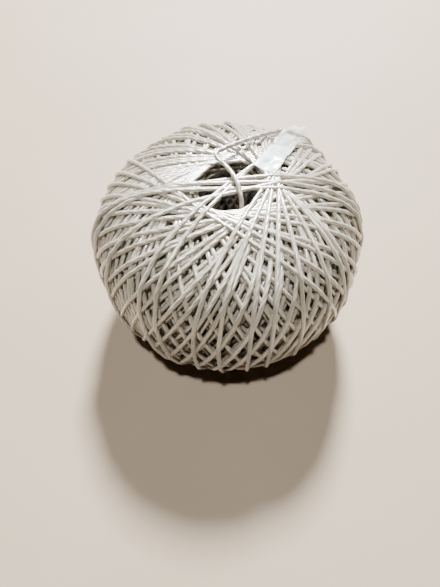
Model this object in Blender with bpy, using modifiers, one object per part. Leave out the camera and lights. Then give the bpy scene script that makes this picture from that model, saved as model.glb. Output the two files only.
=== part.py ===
"""Ball of polished white string, wound on a spindle since drawn out, so its core is an open hole.

Three sub-parts: the wound ball, the string's loose end, and the strip of clear tape that held that end.
Metres, +Z up. The origin is the middle of the flat foot that the ball stands on.
"""
import math

import bmesh
import bpy
from mathutils import Vector

COLLECTION_NAME = "ball_of_string"

# Driving sizes
BALL_RADIUS = 0.0400         # at the waist
BALL_HEIGHT = 0.0566
WAIST_HEIGHT = 0.0288
CORE_RADIUS = 0.0100         # of the hole that the spindle left
STRING_DIAMETER = 0.0012
GAP = 0.0003                 # between touching pieces

# The ball's section: two superellipse halves that meet at the waist
CROWN_POWER = 3.23           # squarer shoulders above
FLANK_POWER = 2.3            # rounder flanks below
FOOT_SINK = 0.0013           # how far the lower half would reach below the flat foot
LIP_RADIUS = 0.0018          # rounding between the core and the top or foot
CROWN_STEPS = 11
FLANK_STEPS = 12
LIP_STEPS = 4
CORE_STEPS = 4
TURN_STEPS = 100
MERGE_DISTANCE = 0.00001

# The main twists: two crossing sets of low ridges, at the slant of the string's own turns
TWISTS = 20
TWIST_RISE = 0.0004          # ridge above, and trough below, the plain section
TURN_OFFSET = 0.0105         # each turn's plane misses the axis by this much at the top and the foot
TWIST_FADE = 0.0035          # length over which the ridges die out at the lips and the foot

# The clear tape, lying over the top's rear right shoulder
TAPE_WIDTH = 0.0064
TAPE_THICKNESS = 0.0003
TAPE_START = Vector((0.0102, 0.0048))
TAPE_END = Vector((0.0198, 0.0222))
TAPE_LENGTH_STEPS = 10
TAPE_WIDTH_STEPS = 4

# The loose end: out from the tape's edge, over the core, back on itself, and down into the core
LOOSE_END_ROUTE = (
    # x, y, z
    (0.0148, 0.0219, 0.0557),
    (0.0106, 0.0191, 0.0568),
    (0.0070, 0.0166, 0.0575),
    (0.0032, 0.0140, 0.0581),
    (-0.0004, 0.0115, 0.0585),
    (-0.0028, 0.0096, 0.0587),
    (-0.0036, 0.0078, 0.0588),
    (-0.0027, 0.0061, 0.0588),
    (-0.0008, 0.0036, 0.0588),
    (0.0009, 0.0006, 0.0588),
    (0.0021, -0.0024, 0.0586),
    (0.0028, -0.0051, 0.0577),
    (0.0032, -0.0071, 0.0558),
    (0.0033, -0.0081, 0.0530),
    (0.0033, -0.0082, 0.0500),
)
LOOSE_END_POINTS = 18
ROUTE_STEPS = 24             # samples read between one route point and the next


def clear_scene():
    for old in list(bpy.data.objects):
        bpy.data.objects.remove(old, do_unlink=True)


def new_material(name, colour, roughness, alpha=1.0):
    material = bpy.data.materials.new(name)
    material.use_nodes = True
    shader = material.node_tree.nodes["Principled BSDF"]
    shader.inputs["Base Color"].default_value = (*colour, 1.0)
    shader.inputs["Metallic"].default_value = 0.0
    shader.inputs["Roughness"].default_value = roughness
    shader.inputs["Alpha"].default_value = alpha
    material.diffuse_color = (*colour, alpha)
    return material


def place(name, data, collection, material):
    """Put a mesh or curve in the collection as an object of this name, in this material."""
    thing = bpy.data.objects.new(name, data)
    collection.objects.link(thing)
    data.materials.clear()
    data.materials.append(material)
    return thing


def superellipse_height(distance, half_height, power):
    return half_height * (1.0 - (distance / BALL_RADIUS) ** power) ** (1.0 / power)


def top_height(distance):
    """Height of the section's upper half, at this distance from the axis."""
    return WAIST_HEIGHT + superellipse_height(distance, BALL_HEIGHT - WAIST_HEIGHT, CROWN_POWER)


def foot_radius():
    """Outer radius of the flat foot, where the lower half is cut off level."""
    share = 1.0 - (WAIST_HEIGHT / (WAIST_HEIGHT + FOOT_SINK)) ** FLANK_POWER
    return BALL_RADIUS * share ** (1.0 / FLANK_POWER)


def section_point(slope):
    """The section's point seen from the waist's middle, along a direction this far from straight up."""
    along = math.cos(slope)
    if along > 0.0:
        power = CROWN_POWER
        half_height = BALL_HEIGHT - WAIST_HEIGHT
    else:
        power = FLANK_POWER
        half_height = WAIST_HEIGHT + FOOT_SINK
    across = math.sin(slope)
    reach = ((across / BALL_RADIUS) ** power + (abs(along) / half_height) ** power) ** (-1.0 / power)
    return Vector((reach * across, 0.0, WAIST_HEIGHT + reach * along))


def lip(centre_height, first_angle):
    """The quarter round at one end of the core, clockwise from an angle, without its end points."""
    centre = Vector((CORE_RADIUS + LIP_RADIUS, 0.0, centre_height))
    points = []
    for step in range(1, LIP_STEPS):
        angle = first_angle - math.pi / 2.0 * step / LIP_STEPS
        points.append(centre + LIP_RADIUS * Vector((math.cos(angle), 0.0, math.sin(angle))))
    return points


def ball_section():
    """The closed section at +X: down the outer side from the top lip, in along the foot, up the core."""
    lip_start = CORE_RADIUS + LIP_RADIUS
    lip_height = top_height(lip_start)
    crown_slope = math.atan2(lip_start, lip_height - WAIST_HEIGHT)
    waist_slope = math.pi / 2.0
    foot_slope = math.pi - math.atan2(foot_radius(), WAIST_HEIGHT)
    core_foot = LIP_RADIUS
    core_top = lip_height - LIP_RADIUS
    points = []
    for step in range(CROWN_STEPS):
        points.append(section_point(crown_slope + (waist_slope - crown_slope) * step / CROWN_STEPS))
    for step in range(FLANK_STEPS):
        points.append(section_point(waist_slope + (foot_slope - waist_slope) * step / FLANK_STEPS))
    points.append(Vector((foot_radius(), 0.0, 0.0)))
    points.append(Vector((lip_start, 0.0, 0.0)))
    points.extend(lip(core_foot, -math.pi / 2.0))
    for step in range(CORE_STEPS + 1):
        height = core_foot + (core_top - core_foot) * step / CORE_STEPS
        points.append(Vector((CORE_RADIUS, 0.0, height)))
    points.extend(lip(core_top, math.pi))
    return points


def turned(section):
    """The closed section turned round the Z axis by a Screw modifier, as a plain mesh."""
    outline = bpy.data.meshes.new("section")
    edges = [(index, (index + 1) % len(section)) for index in range(len(section))]
    outline.from_pydata(section, edges, [])
    holder = bpy.data.objects.new("section", outline)
    bpy.context.scene.collection.objects.link(holder)
    screw = holder.modifiers.new("turn", "SCREW")
    screw.axis = "Z"
    screw.angle = 2.0 * math.pi
    screw.steps = TURN_STEPS
    screw.render_steps = TURN_STEPS
    screw.use_merge_vertices = True
    screw.merge_threshold = MERGE_DISTANCE
    depsgraph = bpy.context.evaluated_depsgraph_get()
    mesh = bpy.data.meshes.new_from_object(holder.evaluated_get(depsgraph))
    bpy.data.objects.remove(holder, do_unlink=True)
    return mesh


def ease(share):
    share = min(max(share, 0.0), 1.0)
    return share * share * (3.0 - 2.0 * share)


def twist_lift(point):
    """How far the two crossing sets of ridges raise or sink this point of the plain section."""
    across = math.hypot(point.x, point.y)
    round_axis = math.atan2(point.y, point.x)
    if point.z > WAIST_HEIGHT:
        miss = TURN_OFFSET * (point.z - WAIST_HEIGHT) / (BALL_HEIGHT - WAIST_HEIGHT)
    else:
        miss = TURN_OFFSET * (WAIST_HEIGHT - point.z) / WAIST_HEIGHT
    lean = math.asin(min(miss / across, 1.0))
    ridge = max(math.cos(TWISTS * (round_axis - lean)), math.cos(TWISTS * (round_axis + lean)))
    at_lip = ease((across - CORE_RADIUS - LIP_RADIUS) / TWIST_FADE)
    at_foot = ease(point.z / TWIST_FADE)
    return TWIST_RISE * ridge * at_lip * at_foot


def build_wound_ball(collection, material):
    mesh = turned(ball_section())
    waist_middle = Vector((0.0, 0.0, WAIST_HEIGHT))
    for vertex in mesh.vertices:
        outward = (vertex.co - waist_middle).normalized()
        vertex.co += outward * twist_lift(vertex.co)
    mesh.shade_smooth()
    place("wound_ball", mesh, collection, material)


def above_top(x, y, lift):
    """The point this far out, square to the plain section, from the ball's top at x, y."""
    step = 0.0001
    distance = math.hypot(x, y)
    rise = (top_height(distance + step) - top_height(distance - step)) / (2.0 * step)
    out_share = -rise / math.hypot(rise, 1.0)
    up_share = 1.0 / math.hypot(rise, 1.0)
    spread = 1.0 + lift * out_share / distance
    return Vector((x * spread, y * spread, top_height(distance) + lift * up_share))


def build_end_tape(collection, material):
    """A sheet grid laid over the shoulder, just clear of the ridges, and thickened outward."""
    run = TAPE_END - TAPE_START
    side = Vector((-run.y, run.x)).normalized() * (TAPE_WIDTH / 2.0)
    sheet = bmesh.new()
    bmesh.ops.create_grid(sheet, x_segments=TAPE_LENGTH_STEPS, y_segments=TAPE_WIDTH_STEPS, size=1.0)
    for vertex in sheet.verts:
        flat = TAPE_START + run * ((vertex.co.x + 1.0) / 2.0) + side * vertex.co.y
        vertex.co = above_top(flat.x, flat.y, TWIST_RISE + GAP)
    mesh = bpy.data.meshes.new("end_tape")
    sheet.to_mesh(mesh)
    sheet.free()
    tape = place("end_tape", mesh, collection, material)
    thicken = tape.modifiers.new("thickness", "SOLIDIFY")
    thicken.thickness = TAPE_THICKNESS
    thicken.offset = 1.0


def smooth_route(route):
    """Points close together on the smooth curve that passes through each of the route's points."""
    stops = [Vector(stop) for stop in route]
    stops.insert(0, 2.0 * stops[0] - stops[1])
    stops.append(2.0 * stops[-1] - stops[-2])
    points = []
    for index in range(1, len(stops) - 2):
        before, start, end, after = stops[index - 1:index + 3]
        for step in range(ROUTE_STEPS):
            share = step / ROUTE_STEPS
            pull = (end - before) * share
            bend = (2.0 * before - 5.0 * start + 4.0 * end - after) * share ** 2
            twist = (3.0 * start - before - 3.0 * end + after) * share ** 3
            points.append(start + 0.5 * (pull + bend + twist))
    points.append(stops[-2])
    return points


def evenly_spaced(points, count):
    """The same line as this many points, equally far apart along it."""
    reach = [0.0]
    for start, end in zip(points, points[1:]):
        reach.append(reach[-1] + (end - start).length)
    spaced = []
    index = 0
    for number in range(count):
        target = reach[-1] * number / (count - 1)
        while index < len(points) - 2 and reach[index + 1] < target:
            index += 1
        share = (target - reach[index]) / (reach[index + 1] - reach[index])
        spaced.append(points[index].lerp(points[index + 1], share))
    return spaced


def build_loose_end(collection, material):
    points = evenly_spaced(smooth_route(LOOSE_END_ROUTE), LOOSE_END_POINTS)
    curve = bpy.data.curves.new("loose_end", "CURVE")
    curve.dimensions = "3D"
    curve.bevel_depth = STRING_DIAMETER / 2.0
    curve.bevel_resolution = 2
    curve.use_fill_caps = True
    line = curve.splines.new("POLY")
    line.points.add(len(points) - 1)
    for target, point in zip(line.points, points):
        target.co = (*point, 1.0)
    place("loose_end", curve, collection, material)


def main():
    clear_scene()
    collection = bpy.data.collections.new(COLLECTION_NAME)
    bpy.context.scene.collection.children.link(collection)
    string = new_material("polished_string", (0.76, 0.73, 0.66), roughness=0.4)
    tape = new_material("clear_tape", (0.86, 0.89, 0.90), roughness=0.2, alpha=0.5)
    build_wound_ball(collection, string)
    build_end_tape(collection, tape)
    build_loose_end(collection, string)


main()
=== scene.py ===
"""Ball of polished white string: every turn laid over the last, its loose end and its clear tape.

Metres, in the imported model's frame: +Z up, the origin in the middle of the flat foot.
"""
import math

import bpy
import numpy as np
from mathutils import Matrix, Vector


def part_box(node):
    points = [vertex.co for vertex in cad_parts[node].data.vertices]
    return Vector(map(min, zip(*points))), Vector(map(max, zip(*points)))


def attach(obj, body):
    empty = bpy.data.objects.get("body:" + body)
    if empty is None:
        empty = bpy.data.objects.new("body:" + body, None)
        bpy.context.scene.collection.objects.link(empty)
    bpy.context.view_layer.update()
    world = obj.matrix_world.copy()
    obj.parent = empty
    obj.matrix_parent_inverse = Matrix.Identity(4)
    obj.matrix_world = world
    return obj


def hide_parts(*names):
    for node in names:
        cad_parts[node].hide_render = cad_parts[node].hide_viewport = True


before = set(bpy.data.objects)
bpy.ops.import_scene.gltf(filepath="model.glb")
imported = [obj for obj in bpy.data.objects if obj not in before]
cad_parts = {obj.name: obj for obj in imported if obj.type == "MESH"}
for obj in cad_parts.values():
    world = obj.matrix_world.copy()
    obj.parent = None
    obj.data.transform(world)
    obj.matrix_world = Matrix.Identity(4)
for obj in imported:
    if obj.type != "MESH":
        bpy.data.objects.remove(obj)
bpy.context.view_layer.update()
ball_low, ball_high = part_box("wound_ball")

# The string
STRING_RADIUS = 0.0006
PLIES = 3
PLY_LAY = 0.009              # length in which a ply goes once round
GROOVE_DEPTH = 0.09          # of the radius, between two plies
PLY_SWELL = 0.35             # of the grooves' depth, by which the plies stand out past the radius

# The ball, with the same section as its solid: two superellipse halves that meet at the waist
TWIST_RISE = 0.0004          # how far the solid's ridges stand out of its section
BALL_RADIUS = (ball_high.x - ball_low.x) / 2.0 - TWIST_RISE
BALL_HEIGHT = ball_high.z
WAIST_HEIGHT = 0.509 * BALL_HEIGHT
CORE_RADIUS = BALL_RADIUS / 4.0
CROWN_POWER = 3.23
FLANK_POWER = 2.3
FOOT_SINK = 0.0013           # how far below the floor the lower half would end without its flat foot
WAIST_MIDDLE = np.array((0.0, 0.0, WAIST_HEIGHT))

# How the string was wound: each turn is a flat loop that passes the core on one side at the top and on the
# other at the foot, and each loop is turned a little from the last one
WINDING = (
    # turns, degrees from each to the next, least offset, greatest offset from the axis
    (46, -7.9, 0.0150, 0.0240),
    (48, -7.4, 0.0120, 0.0180),
    (50, -7.1, 0.0100, 0.0150),
    (15, -7.5, 0.0100, 0.0128),
    (19, -3.5, 0.0095, 0.0112),
    (31, -7.2, 0.0098, 0.0126),
)
LAST_TURNS = (
    # direction in degrees, offset at the top, offset at the foot
    (314.0, 0.0105, 0.0110),
    (305.0, 0.0100, 0.0105),
    (294.0, 0.0115, 0.0115),
    (278.0, 0.0125, 0.0105),
    (266.0, 0.0130, 0.0110),
    (259.0, 0.0115, 0.0105),
    (248.0, 0.0105, 0.0100),
    (241.0, 0.0090, 0.0095),
    (231.0, 0.0015, 0.0120),
    (227.0, 0.0005, 0.0135),
    (196.0, 0.0045, 0.0125),
    (187.0, -0.0005, 0.0125),
    (183.0, 0.0010, 0.0115),
    (181.0, 0.0030, 0.0125),
)
BURIED_TURNS = 94            # the first ones, deep in the ball
BRIDGING_TURNS = 6           # the last ones, which cross the open core
JITTER = math.radians(0.7)   # scatter of the turns' directions
SAMPLES = 540                # points in a turn
WANDER = 0.00025             # how far a turn strays from its plane
BURIED_PRESS = 0.5           # share of its radius that a buried turn keeps where it lies on another
PRESS = 0.85                 # and that the turns outside them keep
SKIN_SINK = 0.0019           # a turn that lies on no other has its middle this far inside the section
SLACK = 0.0006               # how far a buried turn may rise from there over those below it
OUTER_SLACK = 0.003          # and one outside them
BRIDGE_SLACK = 0.0035        # and one that crosses the open core
WAIST_DEPTH = 0.0040         # thickness of the wound layers at the waist
RIM_DEPTH = 0.0085           # and how much thicker they are round the core
RIM_REACH = 0.008            # distance from the core over which that fades
FOOT_EASE = 0.002            # below this height the turns are pressed flat
EASE_ANGLE = math.radians(50.0)  # how far round a turn the step up from the last one is spread
SMOOTHINGS = 2               # of each turn's reach
PILE_CELLS = 256             # along a side of each of the pile's grids
LAY_ACROSS = 9               # places across the string at which it raises the pile
CONTACT_ACROSS = np.array((-0.85, 0.0, 0.85))  # of its radius, where the string feels for what is below
CONTACT_ROUNDS = 3
SEED = 4

# The tape, from the core's rim over the rear right shoulder
TAPE_WIDTH = 0.0064
TAPE_START = np.array((0.0094, 0.0036))
TAPE_END = np.array((0.0206, 0.0236))


# ---------------------------------------------------------------------------------------------- camera
CAMERA_PLACE = (-0.0024, -0.0868, 0.1407)
CAMERA_PITCH = math.radians(58.3)
CAMERA_LENS = 27.05          # mm, on a 36 mm sensor


def build_camera():
    data = bpy.data.cameras.new("camera")
    data.lens = CAMERA_LENS
    data.sensor_width = 36.0
    data.clip_start = 0.005
    camera = bpy.data.objects.new("camera", data)
    camera.location = CAMERA_PLACE
    camera.rotation_euler = (math.pi / 2.0 - CAMERA_PITCH, 0.0, 0.0)
    bpy.context.scene.collection.objects.link(camera)
    bpy.context.scene.camera = camera


# ----------------------------------------------------------------------------------------- winding
def skin_reach(direction, unwound):
    """Distance from the waist's middle to the ball's skin along unit directions, and that point's radius.

    unwound is the share of the wound layers that isn't on yet.
    """
    across = np.hypot(direction[..., 0], direction[..., 1])
    along = direction[..., 2]
    above = along > 0.0
    power = np.where(above, CROWN_POWER, FLANK_POWER)
    half_height = np.where(above, BALL_HEIGHT - WAIST_HEIGHT, WAIST_HEIGHT + FOOT_SINK)
    reach = ((across / BALL_RADIUS) ** power + (np.abs(along) / half_height) ** power) ** (-1.0 / power)
    to_foot = WAIST_HEIGHT / np.maximum(-along, 1e-6)
    reach = np.minimum(reach, to_foot)
    radius = reach * across
    past_rim = np.maximum(radius - CORE_RADIUS, 0.0)
    depth = WAIST_DEPTH + RIM_DEPTH * np.exp(-past_rim / RIM_REACH)
    return reach - unwound * depth, radius


class Pile:
    """How far the laid string reaches from the waist's middle, on six square grids of directions."""

    def __init__(self, cells):
        self.cells = cells
        directions = self.directions()
        reach, radius = skin_reach(directions, 1.0)
        self.reach = np.where(radius >= CORE_RADIUS, reach - STRING_RADIUS, 0.0)

    def directions(self):
        grid = (np.arange(self.cells) + 0.5) / self.cells * 2.0 - 1.0
        first, second = np.meshgrid(grid, grid, indexing="ij")
        out = np.empty((3, 2, self.cells, self.cells, 3))
        for axis in range(3):
            for side in range(2):
                out[axis, side, ..., axis] = 2 * side - 1
                out[axis, side, ..., (axis + 1) % 3] = first
                out[axis, side, ..., (axis + 2) % 3] = second
        out = out.reshape(-1, 3)
        return out / np.linalg.norm(out, axis=1)[:, None]

    def cell(self, direction):
        """The number of the cell that each direction falls in."""
        size = np.abs(direction)
        axis = size.argmax(-1)
        rows = np.arange(len(direction))
        longest = size[rows, axis]
        side = direction[rows, axis] > 0.0
        first = direction[rows, (axis + 1) % 3] / longest
        second = direction[rows, (axis + 2) % 3] / longest
        row = np.clip(((first + 1.0) / 2.0 * self.cells).astype(np.int64), 0, self.cells - 1)
        column = np.clip(((second + 1.0) / 2.0 * self.cells).astype(np.int64), 0, self.cells - 1)
        return ((axis * 2 + side) * self.cells + row) * self.cells + column

    def lay(self, line, side, press):
        """Raise the pile to the top of the string along this line."""
        following = np.roll(line, -1, axis=0)
        following_side = np.roll(side, -1, axis=0)
        for share in (0.0, 1.0 / 3.0, 2.0 / 3.0):
            middle = (line * (1.0 - share) + following * share)[:-1] - WAIST_MIDDLE
            sideways = (side * (1.0 - share) + following_side * share)[:-1]
            for across in np.linspace(-1.0, 1.0, LAY_ACROSS) * STRING_RADIUS:
                place = middle + sideways * across
                bulge = press * math.sqrt(max(STRING_RADIUS ** 2 - across ** 2, 0.0))
                np.maximum.at(self.reach, self.cell(place), np.linalg.norm(place, axis=1) + bulge)


def tight_loop(angle, reach):
    """The reach, at each angle, of a string pulled tight round the points at these angles and reaches."""
    x = reach * np.cos(angle)
    y = reach * np.sin(angle)
    order = np.lexsort((y, x))

    def half(indices):
        out = []
        for index in indices:
            while len(out) >= 2:
                a, b = out[-2], out[-1]
                if (x[b] - x[a]) * (y[index] - y[a]) - (y[b] - y[a]) * (x[index] - x[a]) > 0.0:
                    break
                out.pop()
            out.append(index)
        return out

    ring = np.array(half(order)[:-1] + half(order[::-1])[:-1])
    ring = ring[np.argsort(angle[ring])]
    span = np.searchsorted(angle[ring], angle, side="right") - 1
    start = ring[span % len(ring)]
    end = ring[(span + 1) % len(ring)]
    run_x = x[end] - x[start]
    run_y = y[end] - y[start]
    facing = np.cos(angle) * run_y - np.sin(angle) * run_x
    met = np.abs(facing) > 1e-12
    return np.where(met, (x[start] * run_y - y[start] * run_x) / np.where(met, facing, 1.0), reach)


def smoothed(values, times):
    """The values round a loop, each eased towards its neighbours this many times."""
    for _ in range(times):
        values = 0.25 * np.roll(values, 1) + 0.5 * values + 0.25 * np.roll(values, -1)
    return values


def contact_reach(start, ray, side, sway, pile, unwound, slack, press):
    """How far out along each ray the string's middle lies when the string touches what is under it."""
    best = np.full(len(ray), 0.00001)
    for across in CONTACT_ACROSS * STRING_RADIUS:
        reach = np.full(len(ray), 0.85 * BALL_RADIUS)
        for _ in range(CONTACT_ROUNDS):
            place = start + ray * reach[:, None] + side * (sway + across)[:, None] - WAIST_MIDDLE
            distance = np.linalg.norm(place, axis=1)
            direction = place / distance[:, None]
            skin, radius = skin_reach(direction, unwound)
            skin = skin - SKIN_SINK - press * STRING_RADIUS
            piled = pile.reach[pile.cell(direction)]
            raised = skin + slack * np.tanh((piled - skin) / slack)
            piled = np.where(piled > skin, raised, piled)
            solid = radius >= CORE_RADIUS
            reach = np.where(solid, reach * piled / distance, reach)
        bulge = press * math.sqrt(STRING_RADIUS ** 2 - across ** 2)
        best = np.where(solid, np.maximum(best, reach + bulge), best)
    return best


def wind(turns, pile, rng):
    """Lay the string turn by turn. Gives its middle line and its sideways direction, a row a turn."""
    direction, top_offset, foot_offset = turns.T
    count = len(turns)
    beta = np.arange(SAMPLES) / SAMPLES * 2.0 * math.pi
    angle = beta - math.pi / 2.0            # a turn runs from the foot up, over the top and down again
    phase = rng.uniform(0.0, 2.0 * math.pi, (count, 3))
    lines = []
    sides = []
    last_reach = None
    for number in range(count):
        bridging = number >= count - BRIDGING_TURNS
        unwound = 0.0 if bridging else 1.0 - number / (count - BRIDGING_TURNS)
        progress = number + beta / (2.0 * math.pi)
        heading = np.interp(progress, np.arange(count) + 0.5, direction)
        top = np.interp(progress, np.arange(count) + 0.5, top_offset)
        foot = np.interp(progress, np.arange(count) + 1.0, foot_offset)
        level = np.zeros(SAMPLES)
        out = np.stack((np.cos(heading), np.sin(heading), level), axis=1)
        left = np.stack((-np.sin(heading), np.cos(heading), level), axis=1)
        up = left * (top - foot)[:, None] + np.array((0.0, 0.0, BALL_HEIGHT))
        up /= np.linalg.norm(up, axis=1)[:, None]
        start = left * (foot + (top - foot) * WAIST_HEIGHT / BALL_HEIGHT)[:, None] + WAIST_MIDDLE
        side = np.cross(out, up)
        ray = np.cos(angle)[:, None] * out + np.sin(angle)[:, None] * up
        sway = np.zeros(SAMPLES)
        for wave in range(1, 4):
            sway += WANDER / (wave + 1) * np.sin((wave + 1) * beta + phase[number, wave - 1])
        buried = number < BURIED_TURNS and not bridging
        slack = BRIDGE_SLACK if bridging else SLACK if buried else OUTER_SLACK
        press = BURIED_PRESS if buried else PRESS
        touching = contact_reach(start, ray, side, sway, pile, unwound, slack, press)
        reach = smoothed(tight_loop(beta, touching), SMOOTHINGS)
        if last_reach is not None:
            ease = np.clip(1.0 - beta / EASE_ANGLE, 0.0, 1.0)
            reach += (last_reach - reach[0]) * ease * ease * (3.0 - 2.0 * ease)
        last_reach = reach[-1]
        line = start + ray * reach[:, None] + side * sway[:, None]
        low = line[:, 2] < FOOT_EASE
        room = FOOT_EASE - STRING_RADIUS
        line[low, 2] = STRING_RADIUS + room * np.exp((line[low, 2] - FOOT_EASE) / room)
        pile.lay(line, side, press)
        lines.append(line)
        sides.append(side)
    return np.array(lines), np.array(sides)


def plan_turns(rng):
    """Every turn's direction and two offsets, the first ones by rule and the last ones by the table."""
    last = np.array(LAST_TURNS)
    last[:, 0] = np.radians(last[:, 0])
    parts = [last]
    following = last[0, 0]
    for count, step, least, greatest in reversed(WINDING):
        steps = np.arange(count, 0, -1)
        heading = following - math.radians(step) * steps + rng.normal(0.0, JITTER, count)
        top = -rng.uniform(least, greatest, count)
        foot = rng.uniform(least, greatest, count)
        parts.insert(0, np.stack((heading, top, foot), axis=1))
        following = heading[0]
    return np.concatenate(parts)


# ------------------------------------------------------------------------------------- string meshes
def evenly_spaced(line, side, spacing):
    """The line and its sideways directions at points this far apart, and each point's distance along it."""
    steps = np.linalg.norm(np.diff(line, axis=0), axis=1)
    along = np.concatenate(((0.0,), np.cumsum(steps)))
    count = max(int(along[-1] / spacing), 2) + 1
    stops = np.linspace(0.0, along[-1], count)
    line = np.stack([np.interp(stops, along, line[:, axis]) for axis in range(3)], axis=1)
    side = np.stack([np.interp(stops, along, side[:, axis]) for axis in range(3)], axis=1)
    return line, side, stops


BAKE_MARGIN = 0.04           # of a strip of the bake map, kept clear beside the string's own area


def string_mesh(name, line, side, spacing, ring_points, rows, plied):
    """A mesh tube along the line, with its plies' grooves if plied, and rows strips on its bake map."""
    line, side, along = evenly_spaced(line, side, spacing)
    ahead = np.gradient(line, axis=0)
    ahead /= np.linalg.norm(ahead, axis=1)[:, None]
    side = side - (side * ahead).sum(axis=1)[:, None] * ahead
    side /= np.linalg.norm(side, axis=1)[:, None]
    over = np.cross(ahead, side)
    count = len(line)
    around = np.arange(ring_points) / ring_points
    radius = np.full((count, ring_points), STRING_RADIUS)
    if plied:
        ridge = np.abs(np.cos(PLIES * math.pi * (around[None] - along[:, None] / PLY_LAY)))
        radius *= 1.0 - GROOVE_DEPTH * (1.0 - ridge) + GROOVE_DEPTH * PLY_SWELL
    turn = 2.0 * math.pi * around
    spoke = np.cos(turn)[None, :, None] * side[:, None] + np.sin(turn)[None, :, None] * over[:, None]
    places = (line[:, None] + radius[..., None] * spoke).reshape(-1, 3)

    here = np.arange(count - 1)[:, None] * ring_points
    this = np.arange(ring_points)[None]
    after = (this + 1) % ring_points
    ring_ahead = here + ring_points
    quads = np.stack((here + this, ring_ahead + this, ring_ahead + after, here + after), axis=-1)
    quads = quads.reshape(-1, 4)

    first_end = np.arange(ring_points)[::-1]
    last_end = np.arange(ring_points) + (count - 1) * ring_points
    corners = np.concatenate((quads[:, ::-1].ravel(), first_end, last_end))
    starts = np.concatenate((np.arange(len(quads) + 1) * 4, (quads.size + ring_points,)))

    mesh = bpy.data.meshes.new(name)
    mesh.vertices.add(len(places))
    mesh.vertices.foreach_set("co", places.astype(np.float32).ravel())
    mesh.loops.add(len(corners))
    mesh.loops.foreach_set("vertex_index", corners.astype(np.int32))
    mesh.polygons.add(len(starts))
    mesh.polygons.foreach_set("loop_start", starts.astype(np.int32))
    mesh.update(calc_edges=True)
    mesh.shade_smooth()

    # Maps, corner by corner in the faces' own order: along the string and round it
    start_along = np.broadcast_to(along[:-1, None], (count - 1, ring_points))
    end_along = np.broadcast_to(along[1:, None], (count - 1, ring_points))
    near = np.broadcast_to(this / ring_points, (count - 1, ring_points))
    far = near + 1.0 / ring_points
    u = np.stack((start_along, end_along, end_along, start_along), axis=-1).reshape(-1, 4)[:, ::-1]
    v = np.stack((near, near, far, far), axis=-1).reshape(-1, 4)[:, ::-1]
    pattern = np.stack((u / PLY_LAY, v), axis=-1).reshape(-1, 2)
    pattern_ends = np.tile(np.stack((0.0 * around, around), axis=-1), (2, 1))
    strip = along[-1] / rows
    row = np.minimum(np.floor(u.mean(axis=1) / strip), rows - 1)[:, None]
    baked_v = (row + BAKE_MARGIN + (1.0 - BAKE_MARGIN) * v) / rows
    baked = np.stack((np.clip(u / strip - row, 0.0, 1.0), baked_v), axis=-1).reshape(-1, 2)
    disc = 0.4 * BAKE_MARGIN / rows * np.stack((np.cos(turn), np.sin(turn)), axis=-1)
    disc_height = BAKE_MARGIN / 2.0 / rows
    baked_ends = np.concatenate((disc + (0.25, disc_height), disc + (0.75, disc_height)))
    for map_name, inner, ends in (("string", pattern, pattern_ends), ("OFBake", baked, baked_ends)):
        places_on_map = np.concatenate((inner, ends)).astype(np.float32)
        mesh.uv_layers.new(name=map_name).uv.foreach_set("vector", places_on_map.ravel())
    thing = bpy.data.objects.new(name, mesh)
    bpy.context.scene.collection.objects.link(thing)
    return thing


def carried_sides(line):
    """A sideways direction at each point, carried along the line without turning about it."""
    ahead = np.gradient(line, axis=0)
    ahead /= np.linalg.norm(ahead, axis=1)[:, None]
    side = np.cross(ahead[0], (0.0, 0.0, 1.0))
    sides = []
    for direction in ahead:
        side = side - side.dot(direction) * direction
        side /= np.linalg.norm(side)
        sides.append(side)
    return np.array(sides)


# ------------------------------------------------------------------------------------------- materials
class Shader:
    """A new material's node tree, with short calls to add and link nodes."""

    def __init__(self, name):
        self.material = bpy.data.materials.new(name)
        self.material.use_nodes = True
        self.tree = self.material.node_tree
        self.surface = self.tree.nodes["Principled BSDF"]

    def add(self, kind, **settings):
        node = self.tree.nodes.new("ShaderNode" + kind)
        for name, value in settings.items():
            setattr(node, name, value)
        return node

    def link(self, output, target):
        self.tree.links.new(output, target)

    def math(self, operation, first, second=None):
        node = self.add("Math", operation=operation)
        for socket, value in zip(node.inputs, (first, second)):
            if isinstance(value, (int, float)):
                socket.default_value = value
            elif value is not None:
                self.link(value, socket)
        return node.outputs[0]

    def noise(self, vector, scale, detail=2.0, roughness=0.5):
        node = self.add("TexNoise")
        node.inputs["Scale"].default_value = scale
        node.inputs["Detail"].default_value = detail
        node.inputs["Roughness"].default_value = roughness
        self.link(vector, node.inputs["Vector"])
        return node.outputs["Fac"]

    def ramp(self, value, stops):
        node = self.add("ValToRGB")
        elements = node.color_ramp.elements
        while len(elements) < len(stops):
            elements.new(0.5)
        for element, (place, colour) in zip(elements, stops):
            element.position = place
            element.color = (*colour, 1.0)
        self.link(value, node.inputs["Fac"])
        return node.outputs["Color"]

    def mix(self, share, first, second, blend="MIX"):
        node = self.add("Mix", data_type="RGBA", blend_type=blend)
        for socket, value in ((node.inputs[0], share), (node.inputs[6], first), (node.inputs[7], second)):
            if isinstance(value, (int, float)):
                socket.default_value = value
            elif isinstance(value, tuple):
                socket.default_value = (*value, 1.0)
            else:
                self.link(value, socket)
        return node.outputs[2]

    def span(self, value, low, high, to_low, to_high):
        node = self.add("MapRange")
        for socket, number in zip(node.inputs[1:5], (low, high, to_low, to_high)):
            socket.default_value = number
        self.link(value, node.inputs[0])
        return node.outputs[0]

    def bump(self, height, distance, strength=1.0):
        node = self.add("Bump")
        node.inputs["Distance"].default_value = distance
        node.inputs["Strength"].default_value = strength
        self.link(height, node.inputs["Height"])
        self.link(node.outputs["Normal"], self.surface.inputs["Normal"])


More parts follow.
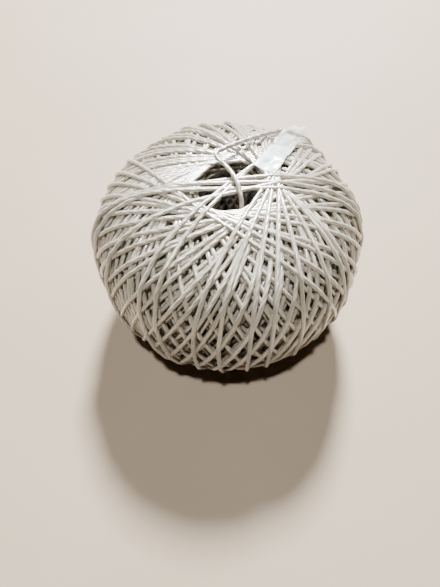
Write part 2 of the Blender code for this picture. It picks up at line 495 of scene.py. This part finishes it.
STRING_COLOURS = (
    (0.38, (0.21, 0.170, 0.115)),
    (0.56, (0.32, 0.285, 0.222)),
    (0.72, (0.44, 0.415, 0.352)),
)
# painted shade in the grooves between the plies
GROOVE_SHADE_COLOUR = (0.22, 0.16, 0.105)
FIBRE_RING = 2.2             # radius of the cylinder of noise that the fibres are read from
FIBRE_STRETCH = 0.5          # how fast that noise changes along the string, in turns of its plies
TONE_STRETCH = 0.11          # and how fast the tone does
PLY_BUMP = 0.7               # of the bump's depth
FIBRE_BUMP = 0.3
BUMP_DEPTH = 0.00012


def string_material(name, shade):
    """Polished string: plies with painted shade in their grooves, fine fibres along them, and a silky,
    uneven gloss.
    """
    shader = Shader(name)
    place = shader.add("UVMap", uv_map="string").outputs["UV"]
    parts = shader.add("SeparateXYZ")
    shader.link(place, parts.inputs[0])
    along, around = parts.outputs[0], parts.outputs[1]
    slant = shader.math("SUBTRACT", around, along)
    wave = shader.math("COSINE", shader.math("MULTIPLY", slant, PLIES * math.pi))
    ridge = shader.math("ABSOLUTE", wave)

    # Fibres: streaks that run along each ply, from noise on a cylinder that the slant unrolls
    turn = shader.math("MULTIPLY", slant, 2.0 * math.pi)
    fibre_place = shader.add("CombineXYZ")
    shader.link(shader.math("MULTIPLY", shader.math("COSINE", turn), FIBRE_RING), fibre_place.inputs[0])
    shader.link(shader.math("MULTIPLY", shader.math("SINE", turn), FIBRE_RING), fibre_place.inputs[1])
    shader.link(shader.math("MULTIPLY", along, FIBRE_STRETCH), fibre_place.inputs[2])
    fibres = shader.noise(fibre_place.outputs[0], 3.2, 3.0, 0.6)

    # Tone: slow changes from one stretch of string to the next
    tone_place = shader.add("CombineXYZ")
    shader.link(shader.math("MULTIPLY", along, TONE_STRETCH), tone_place.inputs[0])
    tone = shader.noise(tone_place.outputs[0], 1.0, 2.0)

    tint = shader.math("ADD", shader.math("MULTIPLY", fibres, 0.6), shader.math("MULTIPLY", tone, 0.55))
    stops = [(stop, tuple(shade * level for level in colour)) for stop, colour in STRING_COLOURS]
    colour = shader.ramp(tint, stops)
    # darker between the plies: painted shade in the grooves
    groove_shade = shader.span(ridge, 0.0, 0.5, 0.35, 0.0)
    colour = shader.mix(groove_shade, colour, GROOVE_SHADE_COLOUR)
    shader.link(colour, shader.surface.inputs["Base Color"])
    shader.link(shader.span(fibres, 0.3, 0.7, 0.33, 0.18), shader.surface.inputs["Roughness"])
    plies = shader.math("MULTIPLY", ridge, PLY_BUMP)
    height = shader.math("ADD", plies, shader.math("MULTIPLY", fibres, FIBRE_BUMP))
    shader.bump(height, BUMP_DEPTH)
    shader.surface.inputs["IOR"].default_value = 1.65
    shader.surface.inputs["Specular IOR Level"].default_value = 0.9
    shader.surface.inputs["Coat Weight"].default_value = 1.0
    shader.surface.inputs["Coat Roughness"].default_value = 0.19
    shader.surface.inputs["Sheen Weight"].default_value = 0.12
    shader.surface.inputs["Sheen Roughness"].default_value = 0.35
    return shader.material


def buried_material():
    """String deep in the ball: crossing bands in dark colours, painted shade, glimpsed between the turns
    over them.
    """
    shader = Shader("buried_string_painted_shade")
    place = shader.add("TexCoord").outputs["Object"]
    heights = []
    for slope in (0.5, -0.5):
        lean = shader.add("Mapping")
        lean.inputs["Rotation"].default_value = (slope, slope, 0.0)
        shader.link(place, lean.inputs["Vector"])
        wave = shader.add("TexWave", wave_type="BANDS", bands_direction="X")
        wave.inputs["Scale"].default_value = 240.0
        wave.inputs["Distortion"].default_value = 1.5
        shader.link(lean.outputs[0], wave.inputs["Vector"])
        heights.append(wave.outputs["Fac"])
    strands = shader.math("MAXIMUM", *heights)
    # near-black to dark brown: painted shade of the deep string
    colour = shader.ramp(strands, ((0.2, (0.05, 0.04, 0.03)), (0.9, (0.30, 0.26, 0.20))))
    shader.link(colour, shader.surface.inputs["Base Color"])
    patches = shader.noise(place, 160.0)
    shader.link(shader.span(patches, 0.3, 0.7, 0.55, 0.75), shader.surface.inputs["Roughness"])
    shader.bump(strands, 0.0004)
    return shader.material


def tape_material():
    """Clear sticky tape: glossy and a little cloudy; its bluish white, most opaque at its start by the core,
    is partly the tape's own cloud and partly a painted highlight.
    """
    shader = Shader("clear_tape")
    place = shader.add("TexCoord").outputs["Object"]
    cloud = shader.noise(place, 260.0, 3.0)
    # bluish white: partly the tape's own cloud, partly a painted reflection of the light
    colour = shader.ramp(cloud, ((0.35, (0.80, 0.84, 0.87)), (0.65, (0.93, 0.95, 0.97))))
    shader.link(colour, shader.surface.inputs["Base Color"])
    shader.link(shader.span(cloud, 0.3, 0.7, 0.12, 0.3), shader.surface.inputs["Roughness"])
    parts = shader.add("SeparateXYZ")
    shader.link(place, parts.inputs[0])
    # most opaque at its start, clearer towards its far end: partly cloud, partly a painted highlight
    cloud_and_painted_highlight = shader.span(parts.outputs[1], TAPE_START[1] + 0.003, TAPE_END[1] - 0.008, 1.0, 0.25)
    shader.link(
        shader.math("MULTIPLY", shader.span(cloud, 0.35, 0.7, 0.3, 0.75), cloud_and_painted_highlight),
        shader.surface.inputs["Alpha"],
    )
    shader.bump(shader.noise(place, 500.0, 2.0), 0.00005)
    shader.surface.inputs["IOR"].default_value = 1.49
    return shader.material


def floor_material():
    """Plain pale matt board."""
    shader = Shader("floor")
    place = shader.add("TexCoord").outputs["Object"]
    mottle = shader.noise(place, 14.0, 4.0)
    colour = shader.ramp(mottle, ((0.3, (0.250, 0.190, 0.130)), (0.7, (0.268, 0.206, 0.144))))
    shader.link(colour, shader.surface.inputs["Base Color"])
    shader.surface.inputs["Roughness"].default_value = 0.7
    return shader.material


# ---------------------------------------------------------------------------------------------- pieces
def finish_piece(piece, material, node=None):
    piece.data.materials.append(material)
    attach(piece, "root")
    if node:
        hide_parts(node)
    return piece


# The wound string is made as consecutive stretches, finer towards the outside
STRETCHES = (
    # pieces, share of the turns up to which they go, spacing along the string, points round it, with plies
    (1, 0.42, 0.0021, 6, False),
    (1, 0.65, 0.0014, 8, False),
    (4, 1.00, 0.0008, 12, True),
)


def build_turns(lines, sides, material):
    number = 0
    first = 0
    for pieces, share, spacing, ring_points, plied in STRETCHES:
        last = round(share * len(lines))
        bounds = np.linspace(first, last, pieces + 1).astype(int)
        for start, end in zip(bounds, bounds[1:]):
            number += 1
            line = lines[start:end].reshape(-1, 3)
            side = sides[start:end].reshape(-1, 3)
            piece = string_mesh(f"turns_{number}", line, side, spacing, ring_points, end - start, plied)
            finish_piece(piece, material, "wound_ball")
        first = last


CORE_TURNS = 66
CORE_SAMPLES = 90
CORE_STEP = math.radians(-15.0)
CORE_SHADE = 0.35            # of the string's colour: painted shade on the turns round the open core
CORE_REACH = 0.0254          # how far above and below the waist the first turns reach at most
CORE_REACH_LEAST = 0.72      # of that, at least
CORE_STACK = 2.2             # string radii that they stand out from the core at most
CORE_SPACING = 0.0019
CORE_RING = 7


def build_core_turns(material, rng):
    """The first turns, wound on the spindle: slanting loops round the open core, with the ball's tilt."""
    count = CORE_TURNS * CORE_SAMPLES
    round_core = np.arange(count) / CORE_SAMPLES * 2.0 * math.pi
    turn = round_core / (2.0 * math.pi)
    heading = CORE_STEP * turn
    stops = np.arange(CORE_TURNS + 1)
    height = CORE_REACH * np.interp(turn, stops, rng.uniform(CORE_REACH_LEAST, 1.0, len(stops)))
    stack = np.interp(turn * 2.0, stops, rng.uniform(1.0, CORE_STACK, len(stops)))
    out = CORE_RADIUS + STRING_RADIUS * stack
    line = np.stack(
        (
            out * np.cos(round_core),
            out * np.sin(round_core),
            WAIST_HEIGHT + height * np.cos(round_core - heading),
        ),
        axis=1,
    )
    side = np.stack((np.cos(round_core), np.sin(round_core), np.zeros(count)), axis=1)
    piece = string_mesh("core_turns", line, side, CORE_SPACING, CORE_RING, CORE_TURNS // 2, False)
    finish_piece(piece, material, "wound_ball")


FILL_STEPS = 120
FILL_SLOPES = 160            # points of its section, before the open core's are left out
FILL_WALL = 16               # and along the core's wall
FILL_DEPTH = 0.0008          # below the underside of the first turns laid on it
FILL_CORE_RADIUS = CORE_RADIUS + 0.0026


def build_fill(material):
    """A closed ring under the turns, which stands for the string buried deepest."""
    slope = np.linspace(0.0, math.pi, FILL_SLOPES)
    direction = np.stack((np.sin(slope), 0.0 * slope, np.cos(slope)), axis=1)
    reach, _ = skin_reach(direction, 1.0)
    section = direction * (reach - STRING_RADIUS - FILL_DEPTH)[:, None] + WAIST_MIDDLE
    section = section[section[:, 0] > FILL_CORE_RADIUS]
    wall = np.linspace(section[-1, 2], section[0, 2], FILL_WALL)
    wall = np.stack((np.full(FILL_WALL, FILL_CORE_RADIUS), 0.0 * wall, wall), axis=1)
    section = np.concatenate((section, wall))
    count = len(section)
    verts = []
    faces = []
    for step in range(FILL_STEPS):
        angle = 2.0 * math.pi * step / FILL_STEPS
        following = (step + 1) % FILL_STEPS
        verts.extend((x * math.cos(angle), x * math.sin(angle), z) for x, _, z in section)
        for row in range(count):
            below = (row + 1) % count
            faces.append((
                step * count + row, step * count + below, following * count + below, following * count + row,
            ))
    mesh = bpy.data.meshes.new("fill")
    mesh.from_pydata(verts, [], faces)
    mesh.shade_smooth()
    piece = bpy.data.objects.new("fill", mesh)
    bpy.context.scene.collection.objects.link(piece)
    finish_piece(piece, material, "wound_ball")


# The loose end's route, as in the solid
LOOSE_END_ROUTE = (
    # x, y, z
    (0.0148, 0.0219, 0.0557),
    (0.0106, 0.0191, 0.0568),
    (0.0070, 0.0166, 0.0575),
    (0.0032, 0.0140, 0.0581),
    (-0.0004, 0.0115, 0.0585),
    (-0.0028, 0.0096, 0.0587),
    (-0.0036, 0.0078, 0.0588),
    (-0.0027, 0.0061, 0.0588),
    (-0.0008, 0.0036, 0.0588),
    (0.0009, 0.0006, 0.0588),
    (0.0021, -0.0024, 0.0586),
    (0.0028, -0.0051, 0.0577),
    (0.0032, -0.0071, 0.0558),
    (0.0033, -0.0081, 0.0530),
    (0.0033, -0.0082, 0.0500),
)
ROUTE_STEPS = 24             # samples read between one route point and the next
LOOSE_END_SPACING = 0.0004
LOOSE_END_RING = 16
LOOSE_END_ROWS = 4


def smooth_route(route):
    """Points close together on the smooth curve that passes through each of the route's points."""
    stops = [np.array(stop) for stop in route]
    stops.insert(0, 2.0 * stops[0] - stops[1])
    stops.append(2.0 * stops[-1] - stops[-2])
    points = []
    for index in range(1, len(stops) - 2):
        before, start, end, after = stops[index - 1:index + 3]
        for step in range(ROUTE_STEPS):
            share = step / ROUTE_STEPS
            pull = (end - before) * share
            bend = (2.0 * before - 5.0 * start + 4.0 * end - after) * share ** 2
            twist = (3.0 * start - before - 3.0 * end + after) * share ** 3
            points.append(start + 0.5 * (pull + bend + twist))
    points.append(stops[-2])
    return np.array(points)


def build_loose_end(material):
    line = smooth_route(LOOSE_END_ROUTE)
    side = carried_sides(line)
    piece = string_mesh("loose_string", line, side, LOOSE_END_SPACING, LOOSE_END_RING, LOOSE_END_ROWS, True)
    finish_piece(piece, material)
    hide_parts("loose_end")


# The strand that becomes the loose end: it climbs the rear right flank to where the route starts
FINAL_TURN = (
    # direction in degrees, offset at the top, offset at the foot
    (34.5, 0.0100, -0.0105),
)
JOIN_SAMPLES = 45            # points of that stretch, which bends to meet the loose end
LAST_SPACING = 0.0007
LAST_RING = 12


def lead_to_loose_end(line):
    """Cut the final turn where it comes to the loose end, and bend its last stretch to meet it."""
    target = np.array(LOOSE_END_ROUTE[0])
    nearest = int(np.linalg.norm(line - target, axis=1).argmin())
    line = line[:nearest + 1].copy()
    share = np.clip((np.arange(nearest + 1) - nearest + JOIN_SAMPLES) / JOIN_SAMPLES, 0.0, 1.0)
    line += (target - line[-1]) * (share * share * (3.0 - 2.0 * share))[:, None]
    return line


TAPE_THICKNESS = 0.00009
TAPE_COLUMNS = 84
TAPE_ROWS = 28
TAPE_SPREADS = 3             # steps by which the tape is raised beside each high string
TAPE_EASES = 5               # and times that its sheet is then evened out
CREASE_HEIGHT = 0.00008


RIM_DIP = 0.0025             # the tape's height over the open core, below the ball's top


def top_of_pile(pile, x, y):
    """The height of the topmost string over each x, y, or of the core's rim where there is none."""
    flat = x * x + y * y
    height = np.full(x.shape, BALL_HEIGHT)
    for _ in range(4):
        place = np.stack((x, y, height), axis=-1).reshape(-1, 3) - WAIST_MIDDLE
        reach = pile.reach[pile.cell(place)].reshape(x.shape)
        on_string = WAIST_HEIGHT + np.sqrt(np.maximum(reach ** 2 - flat, 0.0))
        height = np.where(reach > CORE_RADIUS, on_string, BALL_HEIGHT - RIM_DIP)
    return height + (1.0 - PRESS) * STRING_RADIUS


def neighbours(height):
    """The tape's heights nine times over, shifted so that each is set beside those round it."""
    grown = np.pad(height, 1, mode="edge")
    return [grown[i:i + TAPE_COLUMNS, j:j + TAPE_ROWS] for i in range(3) for j in range(3)]


def build_tape(pile, material):
    """Tape laid over the shoulder: it rests on the highest strings, bridges between them and is creased."""
    run = TAPE_END - TAPE_START
    side = np.array((-run[1], run[0])) / np.linalg.norm(run) * TAPE_WIDTH / 2.0
    columns = np.linspace(0.0, 1.0, TAPE_COLUMNS)
    rows = np.linspace(-1.0, 1.0, TAPE_ROWS)
    along, across = np.meshgrid(columns, rows, indexing="ij")
    x = TAPE_START[0] + run[0] * along + side[0] * across
    y = TAPE_START[1] + run[1] * along + side[1] * across
    height = top_of_pile(pile, x, y)
    for _ in range(TAPE_SPREADS):
        height = np.maximum.reduce(neighbours(height))
    for _ in range(TAPE_EASES):
        height = sum(neighbours(height)) / 9.0
    height += TAPE_THICKNESS
    height += CREASE_HEIGHT * np.sin(31.0 * along + 2.0 * across) * np.sin(3.0 * across + 9.0 * along)
    verts = np.stack((x, y, height), axis=-1).reshape(-1, 3)
    faces = []
    for i in range(TAPE_COLUMNS - 1):
        for j in range(TAPE_ROWS - 1):
            corner = i * TAPE_ROWS + j
            faces.append((corner, corner + TAPE_ROWS, corner + TAPE_ROWS + 1, corner + 1))
    mesh = bpy.data.meshes.new("tape")
    mesh.from_pydata(verts.tolist(), [], faces)
    mesh.shade_smooth()
    piece = bpy.data.objects.new("tape", mesh)
    bpy.context.scene.collection.objects.link(piece)
    thicken = piece.modifiers.new("thickness", "SOLIDIFY")
    thicken.thickness = TAPE_THICKNESS
    thicken.offset = 1.0
    finish_piece(piece, material, "end_tape")


# ---------------------------------------------------------------------------------------- floor, light
def build_floor():
    bpy.ops.mesh.primitive_plane_add(size=3.0)
    floor = bpy.context.object
    floor.name = "floor"
    floor.data.materials.append(floor_material())


def add_light(name, place, size, power, colour):
    data = bpy.data.lights.new(name, "AREA")
    data.shape = "DISK"
    data.size = size
    data.energy = power
    data.color = colour
    light = bpy.data.objects.new(name, data)
    light.location = place
    aim = Vector((0.0, 0.0, WAIST_HEIGHT)) - Vector(place)
    light.rotation_euler = aim.to_track_quat("-Z", "Y").to_euler()
    bpy.context.scene.collection.objects.link(light)


def build_lights():
    add_light("window", (0.06, 0.56, 0.66), 0.14, 59.0, (0.96, 0.985, 1.0))
    add_light("ceiling", (-0.05, -0.18, 0.90), 0.05, 11.0, (1.0, 0.99, 0.97))
    world = bpy.data.worlds.new("room")
    world.use_nodes = True
    background = world.node_tree.nodes["Background"]
    background.inputs["Color"].default_value = (1.0, 0.74, 0.50, 1.0)
    background.inputs["Strength"].default_value = 0.02
    bpy.context.scene.world = world


def main():
    build_camera()
    string = string_material("polished_string", 1.0)
    build_loose_end(string)
    rng = np.random.default_rng(SEED)
    pile = Pile(PILE_CELLS)
    lines, sides = wind(plan_turns(rng), pile, rng)
    build_turns(lines, sides, string)
    final = np.array(FINAL_TURN)
    final[:, 0] = np.radians(final[:, 0])
    (line,), (side,) = wind(final, pile, rng)
    line = lead_to_loose_end(line)
    piece = string_mesh("last_turn", line, side[:len(line)], LAST_SPACING, LAST_RING, 1, True)
    finish_piece(piece, string, "wound_ball")
    # the core's turns get the string's colours darkened by CORE_SHADE, as painted shade
    build_core_turns(string_material("core_string_painted_shade", CORE_SHADE), rng)
    # the fill is coloured with painted shade
    build_fill(buried_material())
    build_tape(pile, tape_material())
    build_floor()
    build_lights()


main()
